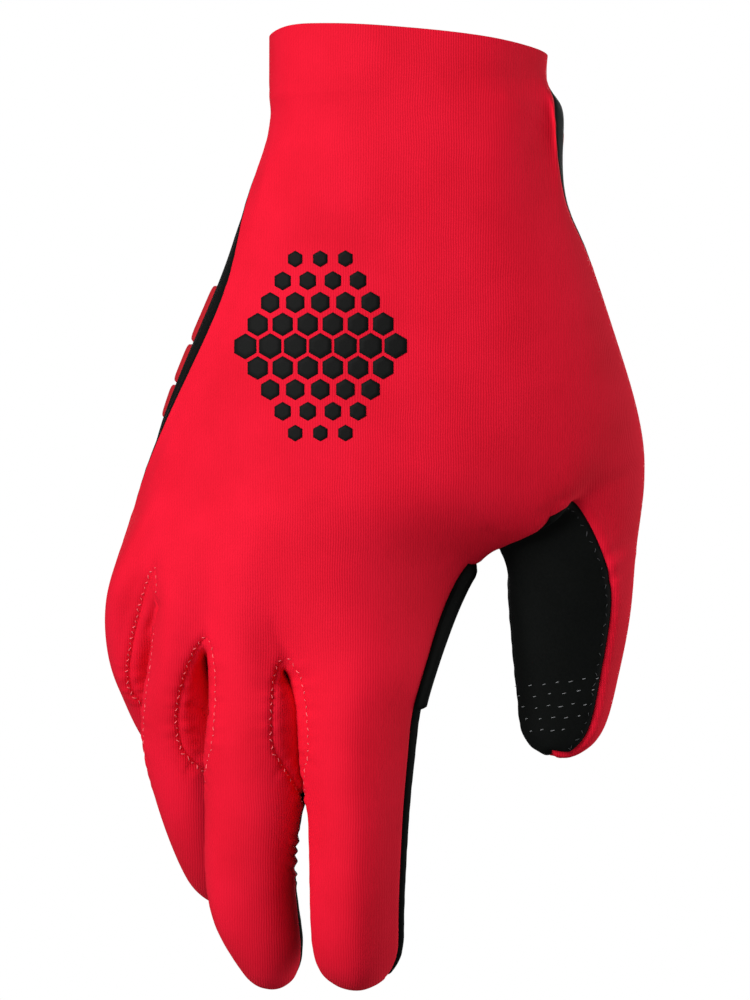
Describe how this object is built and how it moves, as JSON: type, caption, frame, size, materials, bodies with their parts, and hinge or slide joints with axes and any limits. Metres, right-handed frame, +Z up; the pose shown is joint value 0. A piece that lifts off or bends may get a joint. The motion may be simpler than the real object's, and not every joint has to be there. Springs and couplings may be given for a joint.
{
  "type": "motocross glove",
  "caption": "Right-hand motocross glove in its worn shape: red stretch-knit back, black synthetic-leather palm, knit finger gussets, short elastic pull-on cuff.",
  "frame": {"origin": "middle of the wrist opening, where a wearer's wrist enters, level with the middle height of the rim", "axes": "+Z up out of the wrist opening, fingers hanging towards -Z, back of the hand facing -Y, palm facing +Y, thumb towards +X"},
  "size_m": [0.1359, 0.085, 0.2417],
  "materials": {
    "red_knit": "matt fine-rib stretch knit",
    "black_leather": "matt synthetic suede",
    "red_print": "satin raised print"
  },
  "bodies": {
    "root": {"cuff_band": "red_knit", "back_panel": "red_knit", "palm_panel": "black_leather", "thumb_panel": "black_leather", "gusset_little_ring": "red_knit", "gusset_ring_middle": "red_knit", "gusset_middle_index": "red_knit", "index_side_patch": "black_leather", "heel_bar_top": "red_print", "heel_bar_middle": "red_print", "heel_bar_low": "red_print", "wrist_bar": "red_print"}
  },
  "joints": []
}
